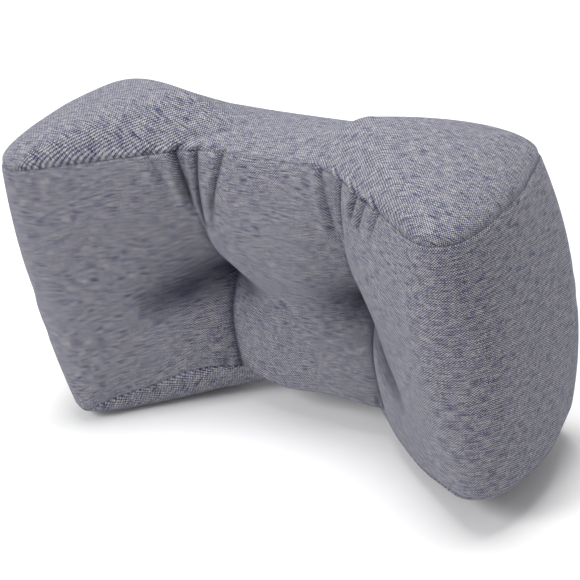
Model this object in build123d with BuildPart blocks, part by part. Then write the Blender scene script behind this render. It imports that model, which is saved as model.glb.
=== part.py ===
"""Lumbar support cushion for an office chair, in millimetres.

A stuffed saddle of cloth: two deep side lobes take the sides of the waist, and a shallow middle takes
the small of the back. The cover is sewn from a front panel that wraps round both ends, two bone-shaped
end panels and a back with a zip. Inside are a lining bag, three masses of fibre and two tapes that pull
the front in to form the channels. +Z is up, +Y is towards the chair's back, and the origin is under the
middle of the cushion's box, on the surface that it stands on.
"""

import os
from math import asin, degrees, hypot, radians, tan

from build123d import *

# Cushion
cushion_width = 450.0  # across the side lobes
cushion_height = 280.0  # from the surface it stands on to the crown of a lobe
lobe_depth = 156.0  # from the back to the tip of a lobe
waist_depth = 76.0  # from the back to the middle of the front
crown_height = 33.0  # from a seam to the crown of a lobe
saddle_dip = 16.0  # how far the crown's middle lies under its lobes

# Outline, seen from above
back_corner_radius = 28.0
back_corner_tuck = 15.0  # how much narrower than the lobes the back is, each side
side_belly_start = 66.0  # from the back to the widest place
side_belly_end = 44.0  # from the lobe's tip to where the side turns in
side_radius = 60.0
tip_radius = 27.0
tip_inset = 9.0  # from the widest place to the tip's outer side
waist_half_width = 62.0  # from the middle to the foot of a lobe's slope
waist_radius = 100.0

# Crown
crown_rounding = 24.0  # of the cushion's rim
rim_margin = 2.0  # by which a corner's radius passes the rim's
lobe_flat_start = 128.0  # from the middle to where the dip begins
dip_flat_half = 34.0
dip_radius = 170.0

# Pulled-in channels
channel_x = 72.0
channel_floor = 44.0  # from the back to the deepest place
channel_drop = 20.0  # how far the deepest place lies under the middle height
channel_margin = 3.0  # from the channel's lower end to the bottom seam
channel_half_angle = 28.7  # between the channel's middle and each of its flanks
channel_root_radius = 5.0
wheel_hub = 5.0  # left uncut round the axle of the wheel that shapes the channels

# Cloth, sewing and filling
cover_thickness = 1.0
lining_thickness = 0.5
tape_clearance = 0.2  # between the zip's tapes and the lining
fill_gap = 0.3  # between lining and filling
seam_gap = 0.8  # thread's thickness, left between two sewn edges
corner_wrap = 9.0  # how far the back cloth wraps round a corner before the side seam
tie_width = 12.0
tie_thickness = 0.8
tie_clearance = 0.3
dart_thread_width = 0.8
dart_thread_height = 0.5
dart_thread_lift = 0.1
dart_share = 0.8  # of the channel's lower half that is sewn into a dart

# Zip
zip_margin = 12.0  # from each end of the zip to the back's rounded corner
slot_half = 4.6  # from the zip's middle to a folded edge of the back cloth
slot_end = 6.0  # of slot past each end of the chain
tape_width = 13.0
tape_thickness = 0.6
tape_tail = 12.0  # of tape past each end of the chain
chain_gap = 1.6  # between the two rows, where the slider's post runs
coil_width = 2.0
coil_height = 1.6
stop_length = 3.0
stop_height = 0.6  # of a stop over its row
stitch_offset = 3.0  # from a folded edge to its row of stitches
stitch_width = 0.5
slider_length = 11.0
slider_corner_radius = 2.0
slider_clearance = 0.3
plate_thickness = 1.1
flange_thickness = 0.9
post_length = 2.2
eye_length = 4.4
eye_height = 2.2
bail_thickness = 1.0
bail_width = 2.6
crossbar_radius = 0.7
pull_length = 26.0
pull_width = 7.4
pull_thickness = 1.2
pull_arm_gap = 0.3
pull_hole_radius = 1.3
pull_corner_radius = 2.4
recess_clearance = 0.6  # between the slider and the lining behind it

# Places worked out from these
seam_height = cushion_height - 2 * crown_height
crown_radius = min(crown_rounding, tip_radius - rim_margin, back_corner_radius - rim_margin)
chain_length = cushion_width - 2 * (back_corner_tuck + back_corner_radius + zip_margin)
lining_gap = tape_thickness + tape_clearance
plate_lift = coil_height - cover_thickness + slider_clearance
plate_top = plate_lift + plate_thickness
slider_proud = plate_top + eye_height + bail_thickness
back_y = (lobe_depth - slider_proud) / 2
front_y = back_y - lobe_depth
mid_z = cushion_height / 2
top_seam_z = mid_z + seam_height / 2
bottom_seam_z = mid_z - seam_height / 2
side_seam_y = back_y - corner_wrap

lining_inset = cover_thickness + lining_gap
fill_inset = lining_inset + lining_thickness + fill_gap
tape_back = back_y - cover_thickness - tape_thickness
plate_inner_y = tape_back - slider_clearance - plate_thickness
recess_depth = back_y - plate_inner_y + recess_clearance
recess_half = slot_half + recess_clearance
pull_axis_y = back_y + plate_top + eye_height / 2
slider_x = chain_length / 2 - stop_length - slider_length / 2 - slider_clearance
room = 20.0  # by which a cutting block passes what it cuts


def tangent_point(start, centre, radius, turn):
    """Where a line from start touches a circle: turn, +1 or -1, is the side of the circle that it passes."""
    span = centre - start
    swing = degrees(asin(radius / span.length))
    reach = (span.length**2 - radius**2) ** 0.5
    return start + span.normalized().rotate(Axis.Z, turn * swing) * reach


def crossing(start, through, other_start, other_through):
    """Where two lines in the plan meet."""
    run = through - start
    other_run = other_through - other_start
    share = (other_start - start).cross(other_run).Z / run.cross(other_run).Z
    return start + run * share


tip_centre = Vector(cushion_width / 2 - tip_inset - tip_radius, front_y + tip_radius)
waist_foot = Vector(waist_half_width, back_y - waist_depth)
belly_end = Vector(cushion_width / 2, front_y + side_belly_end)
slope_touch = tangent_point(waist_foot, tip_centre, tip_radius, -1)
side_touch = tangent_point(belly_end, tip_centre, tip_radius, 1)
tip_corner = crossing(waist_foot, slope_touch, belly_end, side_touch)

# The channel is cut as by a wheel with a V rim, on an axle that lies across in front of the cushion
slope_rise = (waist_foot.Y - slope_touch.Y) / (slope_touch.X - waist_foot.X)
channel_z = mid_z - channel_drop
channel_depth = waist_depth + slope_rise * max(0, channel_x - waist_half_width) - channel_floor
channel_reach = seam_height / 2 - channel_drop - channel_margin
wheel_radius = (channel_reach**2 + channel_depth**2) / (2 * channel_depth)
wheel_y = back_y - channel_floor - wheel_radius
flare_length = wheel_radius - wheel_hub
flare_half = flare_length * tan(radians(channel_half_angle))


def outline(inset):
    """The cushion seen from above, drawn in by inset: a polygon whose tip corner is where the slope and the
    side, each touching the tip's circle, would meet, with every corner rounded."""
    right = [
        (cushion_width / 2 - back_corner_tuck, back_y),
        (cushion_width / 2, back_y - side_belly_start),
        (belly_end.X, belly_end.Y),
        (tip_corner.X, tip_corner.Y),
        (waist_foot.X, waist_foot.Y),
    ]
    radii = [back_corner_radius, side_radius, side_radius, tip_radius, waist_radius]
    left = [(-x, y) for x, y in reversed(right)]
    with BuildSketch() as plan:
        with BuildLine():
            FilletPolyline(*right, *left, radius=radii + radii[::-1], close=True)
        make_face()
        if inset > 0:
            offset(amount=-inset)
    return plan.sketch


def crown(inset):
    """The cushion seen from the front, drawn in by inset: high over the lobes and dipped in the middle."""
    top = [
        (cushion_width / 2 + room, mid_z + cushion_height / 2),
        (lobe_flat_start, mid_z + cushion_height / 2),
        (dip_flat_half, mid_z + cushion_height / 2 - saddle_dip),
    ]
    top = top + [(-x, z) for x, z in reversed(top)]
    bottom = [(x, cushion_height - z) for x, z in reversed(top)]
    bends = [0, dip_radius, dip_radius]
    with BuildSketch(Plane.XZ) as front:
        with BuildLine():
            FilletPolyline(*top, *bottom, radius=(bends + bends[::-1]) * 2, close=True)
        make_face()
        if inset > 0:
            offset(amount=-inset)
    return front.sketch


def form(inset):
    """The whole cushion drawn in by inset. Cover, lining and filling are what lies between two of these."""
    with BuildPart() as body:
        with BuildSketch(Plane.XY):
            add(outline(inset))
        extrude(amount=cushion_height)
        with BuildSketch(Plane.XZ):
            add(crown(inset))
        extrude(amount=cushion_width, both=True, mode=Mode.INTERSECT)
        rim = body.edges().filter_by(Axis.Y, reverse=True).filter_by(Axis.Z, reverse=True)
        rim = rim.filter_by(lambda edge: abs(edge.center().Z - mid_z) > seam_height / 2)
        fillet(rim, radius=crown_radius - inset)
        for side in (1, -1):
            root_y = back_y - channel_floor
            flare_y = root_y - flare_length
            with BuildSketch(Plane.XY.offset(channel_z)):
                with BuildLine():
                    FilletPolyline(
                        (side * channel_x, root_y),
                        (side * channel_x + flare_half, flare_y),
                        (side * channel_x - flare_half, flare_y),
                        radius=[channel_root_radius, 0, 0],
                        close=True,
                    )
                make_face()
                if inset > 0:
                    offset(amount=inset)
            revolve(axis=Axis((0, wheel_y, channel_z), (1, 0, 0)), mode=Mode.SUBTRACT)
    return body.part


def block(low, high):
    """A box between two opposite corners."""
    with BuildPart(mode=Mode.PRIVATE) as solid:
        with BuildSketch(Plane.XY.offset(low[2])):
            with Locations(((low[0] + high[0]) / 2, (low[1] + high[1]) / 2)):
                Rectangle(high[0] - low[0], high[1] - low[1])
        extrude(amount=high[2] - low[2])
    return solid.part


# Ends and edges that several blocks share
side_x = cushion_width / 2 + room
far_y = back_y + room
near_y = front_y - room
half_gap = seam_gap / 2
slot_x = chain_length / 2 + slot_end
tape_x = chain_length / 2 + tape_tail
tape_front = tape_back + tape_thickness
zip_slot = block((-slot_x, side_seam_y, mid_z - slot_half), (slot_x, far_y, mid_z + slot_half))

# Cover
with BuildPart() as cover_cloth:
    add(form(0))
    add(form(cover_thickness), mode=Mode.SUBTRACT)

with BuildPart() as top_panel:
    add(cover_cloth.part)
    add(
        block((-side_x, near_y, top_seam_z + half_gap), (side_x, far_y, cushion_height + room)),
        mode=Mode.INTERSECT,
    )
top_panel.part.label = "top_panel"

with BuildPart() as bottom_panel:
    add(cover_cloth.part)
    add(block((-side_x, near_y, -room), (side_x, far_y, bottom_seam_z - half_gap)), mode=Mode.INTERSECT)
bottom_panel.part.label = "bottom_panel"

with BuildPart() as front_panel:
    add(cover_cloth.part)
    add(
        block(
            (-side_x, near_y, bottom_seam_z + half_gap),
            (side_x, side_seam_y - half_gap, top_seam_z - half_gap),
        ),
        mode=Mode.INTERSECT,
    )
front_panel.part.label = "front_panel"


def stitch_row(side):
    """A row of topstitching above (side +1) or below (side -1) the zip, sunk flush into the cloth."""
    row_z = mid_z + side * (slot_half + stitch_offset)
    return block(
        (-slot_x, back_y - stitch_width, row_z - stitch_width / 2),
        (slot_x, back_y, row_z + stitch_width / 2),
    )


with BuildPart() as back_panel_upper:
    add(cover_cloth.part)
    add(
        block((-side_x, side_seam_y + half_gap, mid_z + half_gap), (side_x, far_y, top_seam_z - half_gap)),
        mode=Mode.INTERSECT,
    )
    add(zip_slot, mode=Mode.SUBTRACT)
    add(stitch_row(1), mode=Mode.SUBTRACT)
back_panel_upper.part.label = "back_panel_upper"

with BuildPart() as back_panel_lower:
    add(cover_cloth.part)
    add(
        block((-side_x, side_seam_y + half_gap, bottom_seam_z + half_gap), (side_x, far_y, mid_z - half_gap)),
        mode=Mode.INTERSECT,
    )
    add(zip_slot, mode=Mode.SUBTRACT)
    add(stitch_row(-1), mode=Mode.SUBTRACT)
back_panel_lower.part.label = "back_panel_lower"

# Sewing thread lies in the gaps between the sewn edges
with BuildPart() as top_seam_thread:
    add(cover_cloth.part)
    add(
        block((-side_x, near_y, top_seam_z - half_gap), (side_x, far_y, top_seam_z + half_gap)),
        mode=Mode.INTERSECT,
    )
top_seam_thread.part.label = "top_seam_thread"

with BuildPart() as bottom_seam_thread:
    add(cover_cloth.part)
    add(
        block((-side_x, near_y, bottom_seam_z - half_gap), (side_x, far_y, bottom_seam_z + half_gap)),
        mode=Mode.INTERSECT,
    )
bottom_seam_thread.part.label = "bottom_seam_thread"

with BuildPart() as side_seam_threads:
    add(cover_cloth.part)
    add(
        block(
            (-side_x, side_seam_y - half_gap, bottom_seam_z + half_gap),
            (side_x, side_seam_y + half_gap, top_seam_z - half_gap),
        ),
        mode=Mode.INTERSECT,
    )
side_seam_threads.part.label = "side_seam_threads"

with BuildPart() as back_seam_threads:
    add(cover_cloth.part)
    add(
        block((-side_x, side_seam_y + half_gap, mid_z - half_gap), (side_x, far_y, mid_z + half_gap)),
        mode=Mode.INTERSECT,
    )
    add(zip_slot, mode=Mode.SUBTRACT)
back_seam_threads.part.label = "back_seam_threads"

with BuildPart() as zipper_stitch_threads:
    add(stitch_row(1))
    add(stitch_row(-1))
zipper_stitch_threads.part.label = "zipper_stitch_threads"


def dart_thread(x):
    """The sewn dart: a thin arc along the root of a channel, from the deepest place down."""
    outer = wheel_radius - dart_thread_lift
    swing = dart_share * degrees(asin(channel_reach / wheel_radius))
    with BuildPart() as thread:
        with BuildSketch(Plane.XY.offset(channel_z)):
            with Locations((x, wheel_y + outer - dart_thread_height / 2)):
                Rectangle(dart_thread_width, dart_thread_height)
        revolve(axis=Axis((0, wheel_y, channel_z), (-1, 0, 0)), revolution_arc=swing)
    return thread.part


left_dart_thread = dart_thread(-channel_x)
left_dart_thread.label = "left_dart_thread"
right_dart_thread = dart_thread(channel_x)
right_dart_thread.label = "right_dart_thread"


# Lining and filling make room for the slider, and the tapes that pull the front in pass through them
def lining_form(inset):
    """The cushion's form drawn in by inset, with the hollow that the slider's inner plate runs in."""
    extra = inset - lining_inset
    with BuildPart() as body:
        add(form(inset))
        add(
            block(
                (-slot_x - extra, back_y - recess_depth - extra, mid_z - recess_half - extra),
                (slot_x + extra, far_y, mid_z + recess_half + extra),
            ),
            mode=Mode.SUBTRACT,
        )
    return body.part


tie_half = tie_thickness / 2 + tie_clearance
tie_front_y = back_y - channel_floor + cover_thickness + tie_clearance
tie_back_y = back_y - cover_thickness
tie_low_z = channel_z - tie_width / 2
tie_high_z = channel_z + tie_width / 2

with BuildPart() as lining_bag:
    add(lining_form(lining_inset))
    add(lining_form(lining_inset + lining_thickness), mode=Mode.SUBTRACT)
    for side in (1, -1):
        add(
            block(
                (side * channel_x - tie_half, tie_front_y - room, tie_low_z - tie_clearance),
                (side * channel_x + tie_half, tie_back_y + room, tie_high_z + tie_clearance),
            ),
            mode=Mode.SUBTRACT,
        )
lining_bag.part.label = "lining_bag"

filling = lining_form(fill_inset)

with BuildPart() as fibre_fill_centre:
    add(filling)
    split(bisect_by=Plane.YZ.offset(channel_x - tie_half), keep=Keep.BOTTOM)
    split(bisect_by=Plane.YZ.offset(tie_half - channel_x), keep=Keep.TOP)
fibre_fill_centre.part.label = "fibre_fill_centre"

with BuildPart() as fibre_fill_right:
    add(filling)
    split(bisect_by=Plane.YZ.offset(channel_x + tie_half), keep=Keep.TOP)
fibre_fill_right.part.label = "fibre_fill_right"

with BuildPart() as fibre_fill_left:
    add(filling)
    split(bisect_by=Plane.YZ.offset(-channel_x - tie_half), keep=Keep.BOTTOM)
fibre_fill_left.part.label = "fibre_fill_left"


def tie_tape(x):
    """A flat tape from the root of a channel to the back cloth."""
    return block(
        (x - tie_thickness / 2, tie_front_y, tie_low_z),
        (x + tie_thickness / 2, tie_back_y, tie_high_z),
    )


left_tie_tape = tie_tape(-channel_x)
left_tie_tape.label = "left_tie_tape"
right_tie_tape = tie_tape(channel_x)
right_tie_tape.label = "right_tie_tape"


# Zip
def zip_side(side, inner, outer, low_y, high_y, half_length):
    """A straight strip of the zip above (side +1) or below (side -1) its middle line."""
    low_z, high_z = sorted((mid_z + side * inner, mid_z + side * outer))
    return block((-half_length, low_y, low_z), (half_length, high_y, high_z))


coil_y = tape_front + coil_height
zipper_tape_upper = zip_side(1, chain_gap / 2, chain_gap / 2 + tape_width, tape_back, tape_front, tape_x)
zipper_tape_upper.label = "zipper_tape_upper"
zipper_tape_lower = zip_side(-1, chain_gap / 2, chain_gap / 2 + tape_width, tape_back, tape_front, tape_x)
zipper_tape_lower.label = "zipper_tape_lower"
coil_x = chain_length / 2 - stop_length
zipper_coil_upper = zip_side(1, chain_gap / 2, chain_gap / 2 + coil_width, tape_front, coil_y, coil_x)
zipper_coil_upper.label = "zipper_coil_upper"
zipper_coil_lower = zip_side(-1, chain_gap / 2, chain_gap / 2 + coil_width, tape_front, coil_y, coil_x)
zipper_coil_lower.label = "zipper_coil_lower"

with BuildPart() as zipper_top_stops:
    for side in (1, -1):
        row_z = mid_z + side * (chain_gap + coil_width) / 2
        add(
            block(
                (coil_x, tape_front, row_z - coil_width / 2),
                (coil_x + stop_length, coil_y + stop_height, row_z + coil_width / 2),
            )
        )
zipper_top_stops.part.label = "zipper_top_stops"

with BuildPart() as zipper_bottom_stop:
    add(
        block(
            (-coil_x - stop_length, tape_front, mid_z - chain_gap / 2 - coil_width),
            (-coil_x, coil_y + stop_height, mid_z + chain_gap / 2 + coil_width),
        )
    )
zipper_bottom_stop.part.label = "zipper_bottom_stop"

# The slider stands at the closed end: two plates joined by a post that runs between the rows
plate_half = chain_gap / 2 + coil_width + slider_clearance + flange_thickness
plate_low_y = back_y + plate_lift
flange_low_y = tape_front + slider_clearance
slider_low_x = slider_x - slider_length / 2
slider_high_x = slider_x + slider_length / 2
post_half = chain_gap / 2 - slider_clearance
bail_half_length = eye_length / 2 + bail_thickness

with BuildPart() as zipper_slider:
    add(
        block(
            (slider_low_x, plate_low_y, mid_z - plate_half),
            (slider_high_x, back_y + plate_top, mid_z + plate_half),
        )
    )
    fillet(zipper_slider.edges().filter_by(Axis.Y), radius=slider_corner_radius)
    add(
        block(
            (slider_low_x + slider_corner_radius, flange_low_y, mid_z + plate_half - flange_thickness),
            (slider_high_x - slider_corner_radius, plate_low_y, mid_z + plate_half),
        )
    )
    add(
        block(
            (slider_low_x + slider_corner_radius, flange_low_y, mid_z - plate_half),
            (slider_high_x - slider_corner_radius, plate_low_y, mid_z - plate_half + flange_thickness),
        )
    )
    add(
        block(
            (slider_high_x - post_length, plate_inner_y, mid_z - post_half),
            (slider_high_x, plate_low_y, mid_z + post_half),
        )
    )
    add(
        block(
            (slider_low_x, plate_inner_y, mid_z - plate_half),
            (slider_high_x, plate_inner_y + plate_thickness, mid_z + plate_half),
        )
    )
    with BuildSketch(Plane.XY.offset(mid_z - bail_width / 2)):
        with Locations((slider_x, back_y + plate_top + (eye_height + bail_thickness) / 2)):
            Rectangle(2 * bail_half_length, eye_height + bail_thickness)
        with Locations((slider_x, back_y + plate_top + eye_height / 2)):
            Rectangle(eye_length, eye_height, mode=Mode.SUBTRACT)
    extrude(amount=bail_width)
zipper_slider.part.label = "zipper_slider"

# The pull's crossbar passes under the bail, and its two arms reach round it
arm_inner = bail_width / 2 + pull_arm_gap
arm_low_x = slider_x - hypot(bail_half_length, eye_height / 2 + bail_thickness) - pull_arm_gap
with BuildPart() as zipper_pull_tab:
    with BuildSketch(Plane.XY.offset(mid_z - pull_width / 2)):
        with Locations((slider_x, pull_axis_y)):
            Circle(crossbar_radius)
    extrude(amount=pull_width)
    for side in (1, -1):
        low_z, high_z = sorted((mid_z + side * arm_inner, mid_z + side * pull_width / 2))
        add(
            block(
                (arm_low_x, pull_axis_y - pull_thickness / 2, low_z),
                (slider_x, pull_axis_y + pull_thickness / 2, high_z),
            )
        )
    with BuildSketch(Plane.XZ.offset(-pull_axis_y - pull_thickness / 2)):
        with BuildLine():
            FilletPolyline(
                (arm_low_x, mid_z + pull_width / 2),
                (arm_low_x, mid_z - pull_width / 2),
                (slider_x - pull_length, mid_z - pull_width / 2),
                (slider_x - pull_length, mid_z + pull_width / 2),
                radius=[0, 0, pull_corner_radius, pull_corner_radius],
                close=True,
            )
        make_face()
        with Locations((slider_x - pull_length + pull_width / 2, mid_z)):
            Circle(pull_hole_radius, mode=Mode.SUBTRACT)
    extrude(amount=pull_thickness)
zipper_pull_tab.part.label = "zipper_pull_tab"

os.makedirs("parts", exist_ok=True)
pieces = [
    top_panel.part,
    bottom_panel.part,
    front_panel.part,
    back_panel_upper.part,
    back_panel_lower.part,
    top_seam_thread.part,
    bottom_seam_thread.part,
    side_seam_threads.part,
    back_seam_threads.part,
    zipper_stitch_threads.part,
    left_dart_thread,
    right_dart_thread,
    lining_bag.part,
    fibre_fill_centre.part,
    fibre_fill_right.part,
    fibre_fill_left.part,
    left_tie_tape,
    right_tie_tape,
    zipper_tape_upper,
    zipper_tape_lower,
    zipper_coil_upper,
    zipper_coil_lower,
    zipper_top_stops.part,
    zipper_bottom_stop.part,
    zipper_slider.part,
    zipper_pull_tab.part,
]
for piece in pieces:
    export_step(piece, f"parts/{piece.label}.step")

slide_travel = chain_length - 2 * stop_length - slider_length - 2 * slider_clearance
print("slider's place and the pull's axis:", slider_x, pull_axis_y, mid_z, "travel", slide_travel)
print("back face", back_y, "deepest place of the channels", back_y - channel_floor, channel_z)
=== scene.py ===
# %% [markdown]
# # A lumbar support cushion
# The real thing is a small pillow in the shape of a wide, shallow U seen from above: two full lobes at the
# sides, a hollow between them for the lower back, and a flat back with a zip. The cover is five pieces of
# plain-woven cloth. Two tapes inside pull the front towards the back, and that makes the two deep channels.
# Everything here is in metres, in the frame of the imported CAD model, so a piece goes where that model says.

# %% Load the fixed frame
import math

import bmesh
import bpy
import numpy as np
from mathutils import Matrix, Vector


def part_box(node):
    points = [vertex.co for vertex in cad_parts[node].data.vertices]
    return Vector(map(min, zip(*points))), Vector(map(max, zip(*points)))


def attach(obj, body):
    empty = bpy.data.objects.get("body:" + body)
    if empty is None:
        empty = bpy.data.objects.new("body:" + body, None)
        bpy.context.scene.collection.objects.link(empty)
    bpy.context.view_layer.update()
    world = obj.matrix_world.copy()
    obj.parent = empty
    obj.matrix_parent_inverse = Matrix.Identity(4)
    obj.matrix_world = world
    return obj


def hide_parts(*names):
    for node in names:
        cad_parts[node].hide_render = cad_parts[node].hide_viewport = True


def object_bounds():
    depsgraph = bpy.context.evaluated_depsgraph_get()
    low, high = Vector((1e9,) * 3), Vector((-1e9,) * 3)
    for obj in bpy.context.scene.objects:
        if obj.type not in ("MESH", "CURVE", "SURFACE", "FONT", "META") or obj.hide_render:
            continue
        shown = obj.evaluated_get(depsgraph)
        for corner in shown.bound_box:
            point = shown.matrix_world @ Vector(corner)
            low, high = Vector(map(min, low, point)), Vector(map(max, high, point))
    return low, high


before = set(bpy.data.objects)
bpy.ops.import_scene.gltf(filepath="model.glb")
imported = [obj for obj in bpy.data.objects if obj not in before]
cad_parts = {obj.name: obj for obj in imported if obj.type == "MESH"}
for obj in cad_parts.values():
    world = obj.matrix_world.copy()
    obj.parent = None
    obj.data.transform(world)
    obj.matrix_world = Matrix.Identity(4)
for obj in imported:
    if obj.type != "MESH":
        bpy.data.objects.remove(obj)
cad_box = [list(corner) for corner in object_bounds()]
MM = 0.001
print("frame", [[round(value, 4) for value in corner] for corner in cad_box])

# %% [markdown]
# The camera is a long lens a good arm's length away, above the front right corner and rolled a little,
# because that is how the cushion is seen in a product picture: the hollow, one lobe and the top panel all
# show. A camera could be placed by hand, but a few angles and a distance are easier to change later.

# %% Camera
VIEW_TURN = math.radians(41.65)
VIEW_HEIGHT = math.radians(29.92)
VIEW_ROLL = math.radians(11.98)
VIEW_DISTANCE = 1.3655
VIEW_LENS = 108.84
AIM_POINT = (0.0, -11.5 * MM, 140 * MM)
AIM_TO_THE_RIGHT = 10.8 * MM
AIM_UPWARDS = -3.8 * MM


def add_camera():
    """Looks along a direction given by turn and height, from a fixed distance behind the aim point."""
    turn, height, roll = VIEW_TURN, VIEW_HEIGHT, VIEW_ROLL
    ahead = np.array([-math.sin(turn) * math.cos(height), math.cos(turn) * math.cos(height),
                      -math.sin(height)])
    level = np.array([math.cos(turn), math.sin(turn), 0.0])
    rise = np.cross(level, ahead)
    right = math.cos(roll) * level - math.sin(roll) * rise
    up = math.sin(roll) * level + math.cos(roll) * rise
    aim = np.array(AIM_POINT) + AIM_TO_THE_RIGHT * level + AIM_UPWARDS * rise
    place = aim - ahead * VIEW_DISTANCE
    camera = bpy.data.objects.new("camera", bpy.data.cameras.new("camera"))
    bpy.context.scene.collection.objects.link(camera)
    camera.data.lens = VIEW_LENS
    camera.data.sensor_width = 36.0
    camera.data.clip_start = 0.05
    matrix = np.eye(4)
    matrix[:3, 0], matrix[:3, 1], matrix[:3, 2], matrix[:3, 3] = right, up, -ahead, place
    camera.matrix_world = [list(column) for column in matrix.T]
    bpy.context.scene.camera = camera
    return camera


print("camera at", [round(value, 3) for value in add_camera().matrix_world.translation])

# %% [markdown]
# The places that the cloth must meet are read from the CAD nodes: the plane of the back, the heights of the
# two long seams, and where each inner tape ends on the front. Typing them again would work until somebody
# changed the CAD model, so they are asked for instead.

# %% Places from the CAD model
DEEP_POINT_LIFT = 7 * MM  # the filling pushes the deepest place of a channel a little above its tape
back_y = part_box("back_panel_upper")[1].y
bottom_seam_z = sum(corner.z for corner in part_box("bottom_seam_thread")) / 2
top_seam_z = sum(corner.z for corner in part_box("top_seam_thread")) / 2
tie_low, tie_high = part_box("right_tie_tape")
channel_x = (tie_low.x + tie_high.x) / 2
channel_z = (tie_low.z + tie_high.z) / 2 + DEEP_POINT_LIFT
channel_y = tie_low.y
zip_z = (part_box("zipper_coil_upper")[0].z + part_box("zipper_coil_lower")[1].z) / 2
middle_z = (bottom_seam_z + top_seam_z) / 2
half_band = (top_seam_z - bottom_seam_z) / 2
total_height = cad_box[1][2]
print("back", round(back_y, 4), "seams", round(bottom_seam_z, 4), round(top_seam_z, 4), "channel",
      round(channel_x, 4), round(channel_y, 4), round(channel_z, 4))

# %% [markdown]
# Seen from above, the seam line is a many-sided figure with every corner rounded. It could be drawn as a
# Bezier curve, but a list of corners with a radius for each is how a pattern cutter would give it, and it is
# easy to measure along. One half is enough: the other is its mirror.

# %% The seam line seen from above
# how far to the side, how far in front of the back, and the radius of each corner, mm
SEAM_CORNERS = [(0, 74, 0), (62, 74, 100), (212, 165, 26), (222, 110, 60), (222, 66, 60), (206, 0, 24),
                (0, 0, 0)]
LOOP_STEP = 0.5 * MM
LOOP_SOFTNESS = 5 * MM


def half_seam_line():
    """Straight runs between corners, each corner cut by the arc of its radius that touches both runs."""
    corners = np.array([(x * MM, back_y - depth * MM) for x, depth, radius in SEAM_CORNERS])
    pieces = [corners[:1]]
    for index in range(1, len(corners) - 1):
        radius = SEAM_CORNERS[index][2] * MM
        before = corners[index - 1] - corners[index]
        after = corners[index + 1] - corners[index]
        before, after = before / np.linalg.norm(before), after / np.linalg.norm(after)
        half_turn = (math.pi - math.acos(float(before @ after))) / 2
        inward = (before + after) / np.linalg.norm(before + after)
        middle = corners[index] + inward * radius / math.cos(half_turn)
        start = corners[index] + before * radius * math.tan(half_turn) - middle
        end = corners[index] + after * radius * math.tan(half_turn) - middle
        swing = math.atan2(start[0] * end[1] - start[1] * end[0], float(start @ end))
        angle = math.atan2(start[1], start[0]) + np.linspace(0, swing, 30)
        pieces.append(middle + radius * np.stack([np.cos(angle), np.sin(angle)], 1))
    pieces.append(corners[-1:])
    return np.concatenate(pieces)


def smooth_loop(values, width):
    """A bell-shaped average around a closed loop, done as a product in the frequency domain."""
    turns = np.fft.rfftfreq(len(values))
    bell = np.exp(-2 * (math.pi * turns * width) ** 2)
    shape = (-1,) + (1,) * (values.ndim - 1)
    return np.fft.irfft(np.fft.rfft(values, axis=0) * bell.reshape(shape), len(values), axis=0)


def seam_loop():
    """The whole loop at equal steps: from the middle of the back by the left, the front and the right."""
    right_half = half_seam_line()
    loop = np.concatenate([(right_half * (-1, 1))[::-1], right_half[1:]])
    length = np.concatenate([[0], np.cumsum(np.linalg.norm(np.diff(loop, axis=0), axis=1))])
    count = 2 * round(length[-1] / LOOP_STEP / 2)
    at = np.arange(count) * length[-1] / count
    even = np.stack([np.interp(at, length, loop[:, axis]) for axis in (0, 1)], 1)
    return smooth_loop(even, LOOP_SOFTNESS / LOOP_STEP), length[-1]


loop_points, loop_length = seam_loop()
loop_step = loop_length / len(loop_points)
loop_tangent = np.roll(loop_points, -1, 0) - np.roll(loop_points, 1, 0)
loop_tangent /= np.linalg.norm(loop_tangent, axis=1)[:, None]
loop_outward = np.stack([loop_tangent[:, 1], -loop_tangent[:, 0], 0 * loop_tangent[:, 0]], 1)
print("seam line", round(loop_length, 3), "m round,", len(loop_points), "points")

# %% Reading the seam line
def round_loop(table, s):
    """Reads a table kept round the loop, in straight lines, at distance s from the front middle."""
    place = (np.asarray(s) / loop_length + 0.5) % 1.0 * len(table)
    low = np.floor(place).astype(int) % len(table)
    share = place - np.floor(place)
    share = share if table.ndim == 1 else share[..., None]
    return table[low] * (1 - share) + table[(low + 1) % len(table)] * share


SEAM_BEHIND_THREAD = 1 * MM
front_middle = len(loop_points) // 2
widest = front_middle + int(np.argmax(loop_points[front_middle:, 0]))
side_s = (widest - front_middle) * loop_step
channel_s = float(np.interp(channel_x, loop_points[front_middle:widest, 0],
                            np.arange(widest - front_middle) * loop_step))
from_side = np.arange(len(loop_points) - widest) * loop_step
seam_corner_s = side_s + float(np.interp(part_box("side_seam_threads")[1].y - SEAM_BEHIND_THREAD,
                                         loop_points[widest:, 1], from_side))
print("widest at", round(side_s, 3), "channel at", round(channel_s, 3), "side seam at",
      round(seam_corner_s, 3))

# %% [markdown]
# The stuffed cover is one soft surface before it is cut into panels. Round the side it is a band between the
# two seam lines that bulges a little. Above and below, a cap rises from the seam to a ridge line down the
# middle of the plan, highest in the lobes. A sculpted mesh could do this, but with formulas the same surface
# can be asked for at any fineness: coarse for the cloth simulation, fine for the final cloth, and smaller
# for the lining and the filling.

# %% The two channels
CHANNEL_BOTTOM_TUCK = 11 * MM
CHANNEL_TOP_TUCK = 1.5 * MM
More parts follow.
